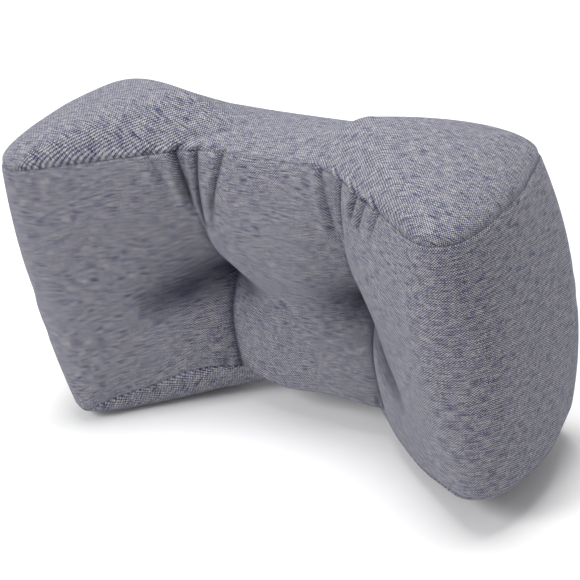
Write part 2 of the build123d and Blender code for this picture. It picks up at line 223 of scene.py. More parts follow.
# left (-1) and right (1): width towards the middle and towards the lobe, and how round each side is
CHANNEL_SHAPE = {-1: (60 * MM, 74 * MM, 0.8, 0.6), 1: (64 * MM, 52 * MM, 0.5, 0.95)}
CREASE_ROUNDING = 1.2 * MM
NARROWEST = 0.16
DEPTH_SOFTNESS = 0.05
FLAT_SIDE_START = 16 * MM
FLAT_SIDE_RUN = 26 * MM
PINCH_DEPTH = 24 * MM
PINCH_TO_MIDDLE = {-1: 46 * MM, 1: 34 * MM}
PINCH_TO_LOBE = 46 * MM
PINCH_UP, PINCH_DOWN = 30 * MM, 36 * MM
VALLEY_DEPTH = 11 * MM
VALLEY_UP, VALLEY_DOWN = 20 * MM, 27 * MM
VALLEY_REACH = 62 * MM
VALLEY_SLOPE = {-1: -0.12, 1: -0.45}


def smooth_step(x):
    """Goes from 0 to 1 with level ends: three times the square less twice the cube."""
    x = np.clip(x, 0, 1)
    return x * x * (3 - 2 * x)


def channel_depth(z, deepest):
    """Falls in a straight line from the deep point to each seam, like cloth held down at one point."""
    up = np.clip((z - channel_z) / (top_seam_z - channel_z), 0, 1)
    down = np.clip((channel_z - z) / (channel_z - bottom_seam_z), 0, 1)
    soft_up = np.hypot(up, DEPTH_SOFTNESS) - DEPTH_SOFTNESS
    soft_down = np.hypot(down, DEPTH_SOFTNESS) - DEPTH_SOFTNESS
    above = CHANNEL_TOP_TUCK + (deepest - CHANNEL_TOP_TUCK) * (1 - soft_up) ** 1.15
    below = CHANNEL_BOTTOM_TUCK + (deepest - CHANNEL_BOTTOM_TUCK) * (1 - soft_down)
    return np.where(z > channel_z, above, below)


def pinch(s, z):
    """The cloth is pulled in like a soft cone at each deep point, and a level valley joins the two."""
    total = np.zeros(np.broadcast(s, z).shape)
    for side in (-1, 1):
        over = (s - side * channel_s) * side
        up = z - channel_z
        reach = np.hypot(over / np.where(over < 0, PINCH_TO_MIDDLE[side], PINCH_TO_LOBE),
                         up / np.where(up > 0, PINCH_UP, PINCH_DOWN))
        total = np.maximum(total, PINCH_DEPTH * np.exp(-1.9 * (np.sqrt(reach ** 2 + 0.003) - 0.055)))
    over = np.abs(s) - channel_s
    fade = np.where(over < 0, 1 - 0.25 * np.cos(s / channel_s * math.pi / 2),
                    np.exp(-(over / VALLEY_REACH) ** 2))
    slope = np.where(over > 0, np.where(s > 0, VALLEY_SLOPE[1], VALLEY_SLOPE[-1]) * over, 0)
    up = z - channel_z - slope
    level = VALLEY_DEPTH * fade * np.exp(-(up / np.where(up > 0, VALLEY_UP, VALLEY_DOWN)) ** 2)
    return np.sqrt(total ** 2 + level ** 2 + 0.5 * total * level)


def channel_tuck(s, z, deepest, inset=0.0):
    """Depth times a profile that is 1 in the crease and 0 at its width: part quarter round, part power.

    The width shrinks with the depth. Below the deep point, the left channel's side towards the middle is
    wider and flatter, so that the dart lies open. An inset surface gets a wider channel.
    """
    total = np.zeros(np.broadcast(s, z).shape)
    for side in (-1, 1):
        away = (s - side * channel_s) * side
        depth = channel_depth(z, deepest)
        spread = NARROWEST + (1 - NARROWEST) * (depth / deepest) ** np.where(z < channel_z, 1.7, 1.0)
        inner_width, outer_width, inner_round, outer_round = CHANNEL_SHAPE[side]
        width = np.where(away < 0, inner_width, outer_width) * spread + 2 * inset
        round_share = np.where(away < 0, inner_round, outer_round)
        if side < 0:
            flat = (1 - smooth_step((z - channel_z + FLAT_SIDE_START) / FLAT_SIDE_RUN)) * (away < 0)
            width = width + (0.40 + 0.60 * depth / deepest - spread).clip(0) * inner_width * flat
            round_share = round_share * (1 - 0.9 * flat)
        reach = np.hypot(away, CREASE_ROUNDING) - CREASE_ROUNDING
        rest = np.clip(1 - np.maximum(reach - 1.6 * inset, 0) / width, 0, 1)
        rounded = 1 - np.sqrt(1 - rest ** 2)
        total = total + depth * (round_share * rounded + (1 - round_share) * rest ** 2.2)
    return total


# %% The band between the seams
SIDE_BULGE = 6 * MM
LOBE_BULGE = 7 * MM
CENTRE_BULGE = 17 * MM
CENTRE_LOWER_SHARE = 0.45
BACK_BULGE = 3 * MM
ZIP_VALLEY = 16 * MM
CORNER_BULGE = 8 * MM
CORNER_REACH = 32 * MM
BOTTOM_SET_IN = 2 * MM
SET_IN_MIDDLE, SET_IN_REACH = -150 * MM, 75 * MM
CREASE_SLACK = 1 * MM
# where the lower edge hangs or is lifted: place on the loop, half width, how far down, mm
LOWER_EDGE = [(-222, 42, 22), (-160, 35, 5), (-100, 34, -9), (-28, 30, 5), (135, 50, 13), (235, 45, -3)]


def bell(place, middle, width):
    """1 at the middle, falling to a third at the width on both sides: e to the power of minus the square."""
    return np.exp(-((place - middle) / width) ** 2)


def band_bulge(s, z):
    """How far the band stands out of the seam line: a parabola in height, scaled by where on the loop."""
    reach = np.abs(s)
    height = np.clip(1 - ((z - middle_z) / half_band) ** 2, 0, 1)
    centre = 1 - smooth_step((reach - 0.35 * channel_s) / (0.9 * channel_s))
    side = smooth_step((reach - side_s + 100 * MM) / (80 * MM))
    upper = smooth_step((z - channel_z + 30 * MM) / (60 * MM))
    upper = CENTRE_LOWER_SHARE + (1 - CENTRE_LOWER_SHARE) * upper
    front = (CENTRE_BULGE * upper * centre + LOBE_BULGE * (1 - centre)) * (1 - side) + SIDE_BULGE * side
    behind = smooth_step((reach - seam_corner_s) / (60 * MM))
    at_zip = bell(z, zip_z, ZIP_VALLEY)
    back = BACK_BULGE * (1 - at_zip)
    corner = CORNER_BULGE * bell(reach, seam_corner_s - 12 * MM, CORNER_REACH)
    level = 1 - at_zip * smooth_step((reach - seam_corner_s) / (10 * MM))
    return height * ((front * (1 - behind) + corner) * level + back * behind)


def bottom_drop(s):
    """The lower edge of a soft cushion is never level: bells along the loop let it hang or lift it."""
    return sum(down * MM * bell(s, middle * MM, width * MM) for middle, width, down in LOWER_EDGE)


front_line_y = float(round_loop(loop_points, channel_s)[1])
bulge_there = float(band_bulge(np.array(channel_s), np.array(channel_z)))
pinch_there = float(pinch(np.array(channel_s), np.array(channel_z)))
deepest_tuck = channel_y - front_line_y + bulge_there - pinch_there - CREASE_SLACK
print("channels go", round(deepest_tuck, 4), "m in at the deep point, the pinch adds", round(pinch_there, 4))


def band_point(s, z, inset=0.0):
    """Seam line plus outward bulge, less the channel's tuck, which goes straight towards the back."""
    line = round_loop(loop_points, s)
    outward = round_loop(loop_outward, s)
    out = (band_bulge(s, z) - inset)[..., None] * outward
    in_front = np.abs(s) < side_s
    tuck = channel_tuck(s, z, deepest_tuck + inset * 0.3, inset) + pinch(s, z) * in_front
    lower = ((top_seam_z - z) / (2 * half_band)) ** 3
    set_in = BOTTOM_SET_IN * (1 + 3 * bell(s, SET_IN_MIDDLE, SET_IN_REACH))
    set_in = set_in * lower * smooth_step((side_s - np.abs(s)) / (60 * MM))
    out = out - set_in[..., None] * outward
    hang = bottom_drop(s) * lower
    return np.concatenate([line, (z - hang)[..., None]], -1) + out + tuck[..., None] * (0.0, 1.0, 0.0)


# %% The caps above and below the seams
RIDGE_HALF_LENGTH = 97 * MM
RIDGE_BEFORE_BACK = 43 * MM
RIDGE_END_FORWARD = 5 * MM
# for the upper (True) and the lower (False) cap
CENTRE_CROWN = {True: 6.5 * MM, False: 3.5 * MM}
LOBE_CROWN = {True: total_height - top_seam_z + 2 * MM, False: bottom_seam_z - 0.5 * MM}
CAP_POWER = {True: 0.55, False: 0.72}
# under the left front the lower cap is flatter: how much, where along the loop and how far
FLATTER_SHARE, FLATTER_MIDDLE, FLATTER_REACH = 0.6, -125 * MM, 75 * MM


def ridge_share(s):
    """Where on the ridge a seam point belongs, front and back alike: -1 at the left end, 1 at the right."""
    reach = np.abs(s)
    front = reach / side_s
    behind = (loop_length / 2 - reach) / (loop_length / 2 - side_s)
    return np.where(reach <= side_s, front, behind) * np.sign(s)


def behind_of(share):
    """The distance round the loop of the back point that belongs to a place on the ridge."""
    return np.sign(share) * (loop_length / 2 - np.abs(share) * (loop_length / 2 - side_s))


def ridge_point(share, up):
    """The ridge runs with the mean of front and back, comes forward to its ends and rises to a level end."""
    front = round_loop(loop_points, share * side_s)
    behind = round_loop(loop_points, behind_of(share))
    x = (front[..., 0] + behind[..., 0]) / 2 / round_loop(loop_points, side_s)[0] * RIDGE_HALF_LENGTH
    along = np.abs(x) / RIDGE_HALF_LENGTH
    y = back_y - RIDGE_BEFORE_BACK - RIDGE_END_FORWARD * along ** 2
    return x, y, CENTRE_CROWN[up] + (LOBE_CROWN[up] - CENTRE_CROWN[up]) * along ** 3 * (4 - 3 * along)


def cap_point(s, rise, up, inset=0.0):
    """From the seam (rise 0) to the ridge (rise 1): straight in plan, a quarter superellipse in height."""
    seam_z = top_seam_z if up else bottom_seam_z
    edge = band_point(s, np.full(np.shape(s), seam_z), inset)
    x, y, crown = ridge_point(ridge_share(s), up)
    plan = edge[..., :2] * (1 - rise)[..., None] + np.stack([x, y], -1) * rise[..., None]
    height = (crown - inset) * (1 - (1 - rise) ** 2) ** CAP_POWER[up]
    if up:
        z = seam_z + height
    else:
        flatter = FLATTER_SHARE * bell(s, FLATTER_MIDDLE, FLATTER_REACH) * (1 - rise)
        z = seam_z - height * (1 - flatter) - bottom_drop(s) * (1 - rise) ** 1.5
    return np.concatenate([plan, z[..., None]], -1)


# %% [markdown]
# The simulation needs one closed skin. The band and both caps share their seam points by number, and the
# front and back halves of a cap share the ridge points, so nothing has to be merged afterwards.

# %% A closed skin
RISE_SPACING = 1.15


def skin_columns(count):
    """Distances round the loop that fall on the same ridge points from the front and from the back."""
    half = count // 2
    share = -np.cos(np.linspace(0, math.pi, half + 1)) * 0.35 + np.linspace(-1, 1, half + 1) * 0.65
    front = share * side_s
    behind = np.where(share == 0, loop_length / 2, behind_of(share))
    return np.concatenate([front, behind[1:-1][::-1]])


def closed_skin(columns, rows, steps, inset=0.0):
    """A closed surface: its points, its faces, the numbers of the band's points, and the band's s and z."""
    s = skin_columns(columns)
    z = np.linspace(bottom_seam_z, top_seam_z, rows + 1)
    band = band_point(np.tile(s, (rows + 1, 1)), np.tile(z[:, None], (1, columns)), inset)
    rise = (np.arange(1, steps + 1) / steps) ** RISE_SPACING
    half = columns // 2
    parts = [band.reshape(-1, 3)]
    band_ids = np.arange((rows + 1) * columns).reshape(rows + 1, columns)
    grids = [band_ids]
    total = band_ids.size
    for up in (True, False):
        cap = cap_point(np.tile(s, (steps, 1)), np.tile(rise[:, None], (1, columns)), up, inset)
        inner = np.arange((steps - 1) * columns).reshape(steps - 1, columns) + total
        total += inner.size
        ridge = np.concatenate([np.arange(half + 1), np.arange(1, half)[::-1]]) + total
        total += half + 1
        parts += [cap[:-1].reshape(-1, 3), cap[-1, :half + 1]]
        grid = np.concatenate([band_ids[-1 if up else 0][None], inner, ridge[None]])
        grids.append(grid if up else grid[:, ::-1])
    faces = []
    for grid in grids:
        ahead = np.roll(grid, -1, 1)
        faces.append(np.stack([grid[:-1], ahead[:-1], ahead[1:], grid[1:]], -1).reshape(-1, 4))
    return np.concatenate(parts), np.concatenate(faces), band_ids, s, z


def make_mesh(name, points, faces):
    """A new piece whose mesh is filled from an array of points and a list of faces."""
    mesh = bpy.data.meshes.new(name)
    mesh.from_pydata(np.asarray(points).tolist(), [], faces)
    mesh.update()
    piece = bpy.data.objects.new(name, mesh)
    bpy.context.scene.collection.objects.link(piece)
    return piece

# %% [markdown]
# Formulas alone give a cushion that looks turned on a lathe. Blowing the closed skin up a little with the
# cloth modifier, while the deep points, the darts and the zip are held, gives the unevenness of stuffing. The
# result is kept as a field of small moves, so the fine surfaces can take it from the coarse one.

# %% Blow the skin up
SKIN_COLUMNS, SKIN_ROWS, SKIN_STEPS = 216, 36, 14
SWAY_LIMIT = 7 * MM
CLOTH_PRESSURE = 4.0
SEAM_HOLD = 0.6
CLOTH_FRAMES = 20


def held_share(points, band_ids, s, z):
    """1 where the cushion is tied or zipped, falling off like a bell around it, 0 elsewhere."""
    share = np.zeros(len(points))
    grid_s, grid_z = np.meshgrid(s, z)
    for side in (-1, 1):
        away = grid_s - side * channel_s
        deep = np.exp(-(away / (9 * MM)) ** 2 - ((grid_z - channel_z) / (16 * MM)) ** 2)
        dart = np.exp(-(away / (5 * MM)) ** 2) * (grid_z < channel_z)
        share[band_ids] = np.maximum(share[band_ids], np.maximum(deep, dart * 0.9))
    zipped = np.exp(-((grid_z - zip_z) / (7 * MM)) ** 2) * (np.abs(grid_s) > seam_corner_s)
    share[band_ids] = np.maximum(share[band_ids], zipped)
    share[band_ids[[0, -1]]] = np.maximum(share[band_ids[[0, -1]]], SEAM_HOLD)
    return np.where(share > 0.25, share, 0)


def blow_up(points, faces, held):
    """Cloth with pressure and no gravity for a few frames; returns how far each point went."""
    skin = make_mesh("blown_skin", points, faces.tolist())
    group = skin.vertex_groups.new(name="held")
    for index in np.nonzero(held)[0].tolist():
        group.add([index], float(held[index]), "REPLACE")
    cloth = skin.modifiers.new("cloth", "CLOTH").settings
    cloth.quality = 5
    cloth.mass = 0.25
    cloth.tension_stiffness = cloth.compression_stiffness = 12
    cloth.shear_stiffness = 4
    cloth.bending_stiffness = 0.4
    cloth.use_pressure = True
    cloth.uniform_pressure_force = CLOTH_PRESSURE
    cloth.effector_weights.gravity = 0
    cloth.vertex_group_mass = "held"
    scene = bpy.context.scene
    for frame_number in range(1, CLOTH_FRAMES + 1):
        scene.frame_set(frame_number)
    blown = skin.evaluated_get(bpy.context.evaluated_depsgraph_get())
    flat = np.empty(len(points) * 3, np.float32)
    blown.data.vertices.foreach_get("co", flat)
    scene.frame_set(1)
    mesh = skin.data
    bpy.data.objects.remove(skin)
    bpy.data.meshes.remove(mesh)
    return flat.reshape(-1, 3) - points


def limited(moves, limit):
    """Shortens every move smoothly so that none is longer than the limit."""
    length = np.linalg.norm(moves, axis=-1, keepdims=True)
    return moves * (limit * np.tanh(length / limit) / np.maximum(length, 1e-9))


skin_points, skin_faces, skin_band, skin_s, skin_z = closed_skin(SKIN_COLUMNS, SKIN_ROWS, SKIN_STEPS)
skin_held = held_share(skin_points, skin_band, skin_s, skin_z)
skin_moves = limited(blow_up(skin_points, skin_faces, skin_held), SWAY_LIMIT)
moved = np.linalg.norm(skin_moves, axis=1) / MM
print("skin", len(skin_points), "points, moved", round(float(moved.mean()), 2), "mm on average,",
      round(float(moved.max()), 2), "mm at most")

# %% The field of moves
inner_size = (SKIN_STEPS - 1) * SKIN_COLUMNS
ridge_size = SKIN_COLUMNS // 2 + 1
band_moves = skin_moves[skin_band]


def cap_field(up):
    """The moves of one cap as rows from the seam to the ridge, one column for each seam point."""
    start = skin_band.size + (0 if up else inner_size + ridge_size)
    inner = skin_moves[start:start + inner_size].reshape(SKIN_STEPS - 1, SKIN_COLUMNS, 3)
    ridge = skin_moves[start + inner_size:start + inner_size + ridge_size]
    ridge = np.concatenate([ridge, ridge[1:-1][::-1]])
    return np.concatenate([band_moves[-1 if up else 0][None], inner, ridge[None]])


cap_moves = {True: cap_field(True), False: cap_field(False)}


def soft_read(field, row, column):
    """Cubic B-spline blend of the sixteen nearest values: the columns go round, the rows stop at the ends."""
    row, column = np.broadcast_arrays(row, column)
    row_low, column_low = np.floor(row).astype(int), np.floor(column).astype(int)
    weights = []
    for share in (row - row_low, column - column_low):
        weights.append([(1 - share) ** 3 / 6, (3 * share ** 3 - 6 * share ** 2 + 4) / 6,
                        (-3 * share ** 3 + 3 * share ** 2 + 3 * share + 1) / 6, share ** 3 / 6])
    total = np.zeros(row.shape + (3,))
    for down in range(4):
        rows = np.clip(row_low + down - 1, 0, len(field) - 1)
        for over in range(4):
            columns = (column_low + over - 1) % field.shape[1]
            total += (weights[0][down] * weights[1][over])[..., None] * field[rows, columns]
    return total


def skin_column(s):
    """The fractional column of the skin at distance s round the loop."""
    unrolled = np.where(skin_s < -side_s - 1e-9, skin_s + loop_length, skin_s)
    unrolled = np.append(unrolled, loop_length - side_s)
    wrapped = (np.asarray(s) + side_s) % loop_length - side_s
    return np.interp(wrapped, unrolled, np.arange(len(unrolled)))


# %% [markdown]
# Pleats are where the band's extra cloth is gathered into the seam beside a channel. Each is a short dip with
# a small swelling on both sides, drawn from a start to an end on the unrolled band. They point at the deep
# points, because that is where the cloth is being pulled.

# %% Pleats and folds
# start and end as (mm from the front middle, mm above half height), then depth and half width in mm
PLEATS = [(-79, 107, -74, 44, 5.5, 2.6), (-60, 106, -72, 20, 4.6, 2.8), (-36, 107, -60, 36, 4.0, 2.6),
          (-100, 107, -88, 76, 1.8, 2.8),
          (84, 106, 76, 40, 4.6, 2.6), (58, 107, 70, 44, 3.4, 2.6),
          (112, 107, 98, 78, 4.6, 2.2), (126, 107, 110, 76, 4.2, 2.2), (147, 107, 132, 80, 3.4, 2.2),
          (-64, -107, -68, -94, 2.2, 2.2), (-84, -107, -79, -92, 2.2, 2.4), (66, -107, 68, -92, 2.0, 2.2)]
# long soft folds that radiate from the deep points across the lobes
FOLDS = [(80, -26, 150, -62, 4.0, 15.0), (-84, -22, -150, -30, 3.0, 20.0), (-66, -24, -20, -10, 2.0, 12.0)]


def beside_line(s, z, mark):
    """Places beside a mark: the share of the way along it, and the half widths across it."""
    s0, z0, s1, z1, depth, width = (value * MM for value in mark)
    z0, z1 = z0 + middle_z, z1 + middle_z
    length = math.hypot(s1 - s0, z1 - z0)
    along = ((s - s0) * (s1 - s0) + (z - z0) * (z1 - z0)) / length ** 2
    across = ((s - s0) * (z1 - z0) - (z - z0) * (s1 - s0)) / length / width
    return along, across, depth * smooth_step((1 - along) * 2.2)


def pleat(s, z, mark):
    """A sharp dip that starts at full depth in the seam, with a roll of cloth on one side."""
    along, across, depth = beside_line(s, z, mark)
    profile = np.exp(-1.3 * np.abs(across)) - 0.5 * bell(across, 2.2, 1.3)
    return depth * smooth_step(along * 4 + 0.75) * profile


def soft_fold(s, z, mark):
    """A wide shallow dip with raised shoulders that fades at both ends."""
    along, across, depth = beside_line(s, z, mark)
    return depth * smooth_step(along * 3) * bell(across, 0, 1) * (1 - 0.7 * across ** 2)


def gathered(s, z):
    """All pleats and folds added up."""
    total = np.zeros(np.broadcast(s, z).shape)
    for mark in PLEATS:
        total = total + pleat(s, z, mark)
    for mark in FOLDS:
        total = total + soft_fold(s, z, mark)
    return total


# %% The finished surface
GROOVE_DEPTH = 1.3 * MM
GROOVE_WIDTH = 1.7 * MM
FLOOR_GAP = 0.3 * MM
FLOOR_SOFTNESS = 2.5 * MM
ZIP_HOLD = 11 * MM
SEAM_JOIN = 0.06
PLEAT_REACH_ON_CAP = 9 * MM
INNER_EXTRA = 2 * MM
INNER_EXTRA_AT_PLEATS = 6 * MM


def groove(distance):
    """A seam pulls the cloth in: a bell of the distance to it."""
    return GROOVE_DEPTH * bell(distance, 0, GROOVE_WIDTH)


def on_the_floor(points):
    """Nothing goes under the floor: the height is bent to level over the last few millimetres."""
    above = np.clip((points[..., 2] - FLOOR_GAP) / FLOOR_SOFTNESS, -20, 20)
    lifted = FLOOR_GAP + FLOOR_SOFTNESS * np.log1p(np.exp(above))
    points[..., 2] = np.where(above < 20, lifted, points[..., 2])
    return points


def finished_band(s, z, inset=0.0):
    """The band with its moves, its pleats and the grooves of the seams around it."""
    s, z = np.broadcast_arrays(np.asarray(s, float), np.asarray(z, float))
    row = (z - bottom_seam_z) / (2 * half_band) * SKIN_ROWS
    wrapped = (s + loop_length / 2) % loop_length - loop_length / 2
    past_corner = np.abs(wrapped) - seam_corner_s
    at_zip = bell(z, zip_z, ZIP_HOLD) * smooth_step(past_corner / (15 * MM))
    moves = soft_read(band_moves, row, skin_column(s)) * (1 - at_zip)[..., None]
    if inset:
        dip = INNER_EXTRA + INNER_EXTRA_AT_PLEATS * np.exp(-((np.abs(wrapped) - channel_s) / (40 * MM)) ** 4)
    else:
        between_seams = np.minimum(1, (top_seam_z - z) * (z - bottom_seam_z) / (200 * MM ** 2))
        dip = gathered(wrapped, z) + groove(top_seam_z - z) + groove(z - bottom_seam_z)
        dip = dip + groove(past_corner) * between_seams
    return on_the_floor(band_point(wrapped, z, inset) + moves - dip[..., None] * round_loop(loop_outward, s))


def finished_cap(s, rise, up, inset=0.0):
    """A cap with its moves; near the seam it takes the same groove and pleats as the band, fading inwards."""
    s, rise = np.broadcast_arrays(np.asarray(s, float), np.asarray(rise, float))
    row = rise ** (1 / RISE_SPACING) * SKIN_STEPS
    moves = soft_read(cap_moves[up], row, skin_column(s))
    seam_z = top_seam_z if up else bottom_seam_z
    wrapped = (s + loop_length / 2) % loop_length - loop_length / 2
    seam_row = np.full(s.shape, float(SKIN_ROWS if up else 0))
    join = bell(rise, 0, SEAM_JOIN)[..., None]
    moves = moves * (1 - join) + soft_read(band_moves, seam_row, skin_column(s)) * join
    place = cap_point(wrapped, rise, up, inset) + moves
    if inset:
        return on_the_floor(place)
    edge = round_loop(loop_points, wrapped)
    x, y, crown = ridge_point(ridge_share(wrapped), up)
    reach = rise * np.hypot(edge[..., 0] - x, edge[..., 1] - y)
    dip = groove(reach) + gathered(wrapped, np.full(s.shape, seam_z)) * bell(reach, 0, PLEAT_REACH_ON_CAP)
    return on_the_floor(place - dip[..., None] * round_loop(loop_outward, wrapped))

# %% [markdown]
# Five panels are cut from that surface: one long front panel that also goes round both sides, two back panels
# with a slot between them for the zip, and a cap above and below. Each gets a flat map in metres along its
# own threads, so the weave has the same size everywhere, and Solidify gives the cloth its thickness.

# %% Panels
CLOTH_THICKNESS = 0.9 * MM
COARSEST_GAP = 3.4 * MM


def graded(start, end, gap_at):
    """Places between two ends with gaps as gap_at says: the running sum of one over the gap, read back."""
    line = np.linspace(start, end, 4001)
    count = np.concatenate([[0], np.cumsum((line[1] - line[0]) / gap_at((line[1:] + line[:-1]) / 2))])
    number = int(round(count[-1]))
    return np.interp(np.linspace(0, count[-1], number + 1), count, line)


def column_gap(s):
    """Fine beside the channels and the side seams, coarse between them."""
    reach = np.abs((s + loop_length / 2) % loop_length - loop_length / 2)
    near = 2.1 * np.exp(-((reach - channel_s) / (48 * MM)) ** 4) + 0.6 * bell(reach, channel_s, 7 * MM)
    return COARSEST_GAP - MM * np.maximum(near, 2.4 * bell(reach, seam_corner_s, 5 * MM))


def row_gap(z):
    """Fine at the two seams, coarse between them."""
    near = bell(z, top_seam_z, 4 * MM) + bell(z, bottom_seam_z, 4 * MM)
    return (2.5 - 1.75 * near) * MM


def grid_faces(rows, columns, around=False):
    """Four-cornered faces of a grid; around joins the last column to the first."""
    ids = np.arange(rows * columns).reshape(rows, columns)
    ahead = np.roll(ids, -1, 1)
    keep = slice(None) if around else slice(0, columns - 1)
    return np.stack([ids[:-1, keep], ahead[:-1, keep], ahead[1:, keep], ids[1:, keep]], -1).reshape(-1, 4)


def set_map(piece, coordinates):
    """Writes one pair of metres per point into the map called cloth."""
    layer = piece.data.uv_layers.new(name="cloth")
    corner_points = np.empty(len(piece.data.loops), np.int32)
    piece.data.loops.foreach_get("vertex_index", corner_points)
    layer.data.foreach_set("uv", np.asarray(coordinates, np.float32)[corner_points].ravel())


def cloth_panel(name, points, faces, coordinates):
    """A smooth sheet with its map and its thickness laid to the inside."""
    piece = make_mesh(name, points.reshape(-1, 3), faces.tolist())
    set_map(piece, coordinates.reshape(-1, 2))
    piece.data.shade_smooth()
    body = piece.modifiers.new("cloth thickness", "SOLIDIFY")
    body.thickness = CLOTH_THICKNESS
    body.offset = -1
    print(name, len(piece.data.polygons), "faces")
    return piece


column_s = graded(-seam_corner_s, seam_corner_s, column_gap)
row_z = graded(bottom_seam_z, top_seam_z, row_gap)
grid_s, grid_z = np.meshgrid(column_s, row_z)
front_panel = cloth_panel("front_cloth", finished_band(grid_s, grid_z), grid_faces(*grid_s.shape),
                          np.stack([grid_s, grid_z], -1))

# %% [markdown]
# Shade is painted into the cover's colour: the channels, the deep points and the sharp pleats are darkened,
# so a channel is darker than its shape alone makes it. The shader could look for corners by itself, but the
# places of the creases are known here, so each point of the front carries its own share of painted shade.

# %% Painted shade in the creases
CREASE_LINE = 2.8 * MM
CREASE_FADE_UP = 50 * MM
PIT_OVER, PIT_UP = 24 * MM, 15 * MM
HOLLOW_OVER, HOLLOW_UP = 48 * MM, 24 * MM
PLEAT_FULLY_DARK = 6 * MM


def painted_shade_share(s, z):
    """Painted shade: narrow along each crease, wider around each deep point, and thin in the sharp pleats."""
    open_share = np.ones(s.shape)
    for side in (-1, 1):
        over, up = (s - side * channel_s) * side, z - channel_z
        line = 0.8 * np.exp(-np.abs(over) / CREASE_LINE - np.maximum(up, 0) / CREASE_FADE_UP)
        pit = 0.95 * np.exp(-np.hypot(over / PIT_OVER, up / PIT_UP) ** 1.5)
        hollow = 0.42 * np.exp(-np.hypot(over / HOLLOW_OVER, up / HOLLOW_UP) ** 2)
        open_share = open_share * (1 - line) * (1 - pit) * (1 - hollow)
    return np.clip(1 - open_share + np.clip(gathered(s, z) / PLEAT_FULLY_DARK, 0, 0.65), 0, 1)


# painted shade: how much each point of the front panel is darkened in its colour, kept as a point attribute
painted_crease_shade = painted_shade_share(grid_s, grid_z)
front_panel.data.attributes.new("painted_crease_shade", "FLOAT", "POINT").data.foreach_set("value", painted_crease_shade.ravel())
print("painted_crease_shade", round(float(painted_crease_shade.mean()), 3), "on average")

# %% [markdown]
# The back is two panels that stop at the zip's slot. Rows of points run from the slot to the seam and crowd
# together at both ends, where the cloth turns sharply.

# %% The two back panels
SLOT_HALF_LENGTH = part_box("zipper_coil_upper")[1].x + 9 * MM
SLOT_HALF_HEIGHT = 4.5 * MM
SLOT_EDGE_TURN = 0.9 * MM


def back_cloth(name, upward):
    """From the edge of the zip's slot to the seam; past its ends the edge closes on the middle line."""
    seam_z = top_seam_z if upward else bottom_seam_z
    sign = 1 if upward else -1
    s = graded(seam_corner_s, loop_length - seam_corner_s, column_gap)
    x = round_loop(loop_points, s)[:, 0]
    end = smooth_step((SLOT_HALF_LENGTH + 2 * MM - np.abs(x)) / (3 * MM))
    edge = zip_z + sign * SLOT_HALF_HEIGHT * end
    share = graded(0, 1, lambda way: 1 / 34 - bell(way, 0, 0.05) / 60 - bell(way, 1, 0.05) / 48)
    z = edge + (seam_z - edge) * share[:, None]
    s = np.tile(s, (len(share), 1))
    turned_in = SLOT_EDGE_TURN * bell(share[:, None, None], 0, 0.018)
    points = finished_band(s, z) - turned_in * round_loop(loop_outward, s)
    faces = grid_faces(*s.shape)
    return cloth_panel(name, points, faces if upward else faces[:, ::-1], np.stack([s, z], -1))


back_upper = back_cloth("back_cloth_upper", True)
back_lower = back_cloth("back_cloth_lower", False)

# %% [markdown]
# A cap is one bone-shaped panel. Its rows run from the seam to the ridge, and the weave is laid out from the
# ridge by true length, so that the threads don't stretch where the cloth turns down to the seam.

# %% The two caps
CAP_COLUMNS = 420


def cap_cloth(name, up):
    """Rows from the seam to the ridge; the two rows that meet on the ridge are merged, front with back."""
    half = CAP_COLUMNS // 2
    s = skin_columns(CAP_COLUMNS)
    rise = graded(0, 1, lambda way: 1 / 44 - bell(way, 0, 0.05) / 62)
    grid = np.meshgrid(s, rise)
    points = finished_cap(grid[0], grid[1], up)
    ridge = points[-1, :half + 1].copy()
    ridge[1:-1] = (ridge[1:-1] + points[-1, half + 1:][::-1]) / 2
    ids = np.arange((len(rise) - 1) * CAP_COLUMNS).reshape(-1, CAP_COLUMNS)
    last = np.concatenate([np.arange(half + 1), np.arange(1, half)[::-1]]) + ids.size
    ids = np.concatenate([ids, last[None]])
    ahead = np.roll(ids, -1, 1)
    faces = np.stack([ids[:-1], ahead[:-1], ahead[1:], ids[1:]], -1).reshape(-1, 4)
    points = np.concatenate([points[:-1].reshape(-1, 3), ridge])
    steps = np.linalg.norm(np.diff(cap_point(grid[0], grid[1], up), axis=0), axis=2)
    reach = np.concatenate([np.cumsum(steps[::-1], axis=0)[::-1], np.zeros((1, CAP_COLUMNS))])
    x, y, crown = ridge_point(ridge_share(s), up)
    out = round_loop(loop_points, s) - np.stack([x, y], 1)
    out /= np.linalg.norm(out, axis=1)[:, None]
    flat = np.stack([x, y], 1) + reach[..., None] * out
    coordinates = np.concatenate([flat[:-1].reshape(-1, 2), flat[-1, :half + 1]])
    return cloth_panel(name, points, faces if up else faces[:, ::-1], coordinates)


top_cap = cap_cloth("top_cloth", True)
bottom_cap = cap_cloth("bottom_cloth", False)

# %% [markdown]
# Every stitch is the same small grain of thread, so one is worked out and then placed many times along a
# line, turned to follow it. Arrays do all of them at once, and each grain has only a few faces.

# %% Stitches
STITCH_PITCH = 2.9 * MM
STITCH_LENGTH = 1.8 * MM
THREAD_WIDTH = 0.55 * MM


def end_fans(rings, around):
    """Triangles that close a run of rings with its two end points, which come last in the list of points."""
    ring = np.arange(around)
    ahead = (ring + 1) % around
    last_ring = (rings - 1) * around
    first_end, last_end = np.full(around, rings * around), np.full(around, rings * around + 1)
    return np.concatenate([np.stack([first_end, ahead, ring], 1),
                           np.stack([last_end, ring + last_ring, ahead + last_ring], 1)])


def thread_grain(length, width):
    """Four rings round a line whose radius follows a half ellipse, closed by a point at each end."""
    at = np.array([-0.42, -0.22, 0.22, 0.42])
    radius = width / 2 * np.sqrt(1 - (at / 0.5) ** 2 * 0.8)
    around = 6
    angle = np.arange(around) / around * 2 * math.pi
    rings = np.stack([np.repeat(at * length, around), np.outer(radius, np.cos(angle)).ravel(),
                      np.outer(radius, np.sin(angle)).ravel()], 1)
    points = np.concatenate([rings, [[-length / 2, 0, 0], [length / 2, 0, 0]]])
    return points, grid_faces(len(at), around, around=True), end_fans(len(at), around)


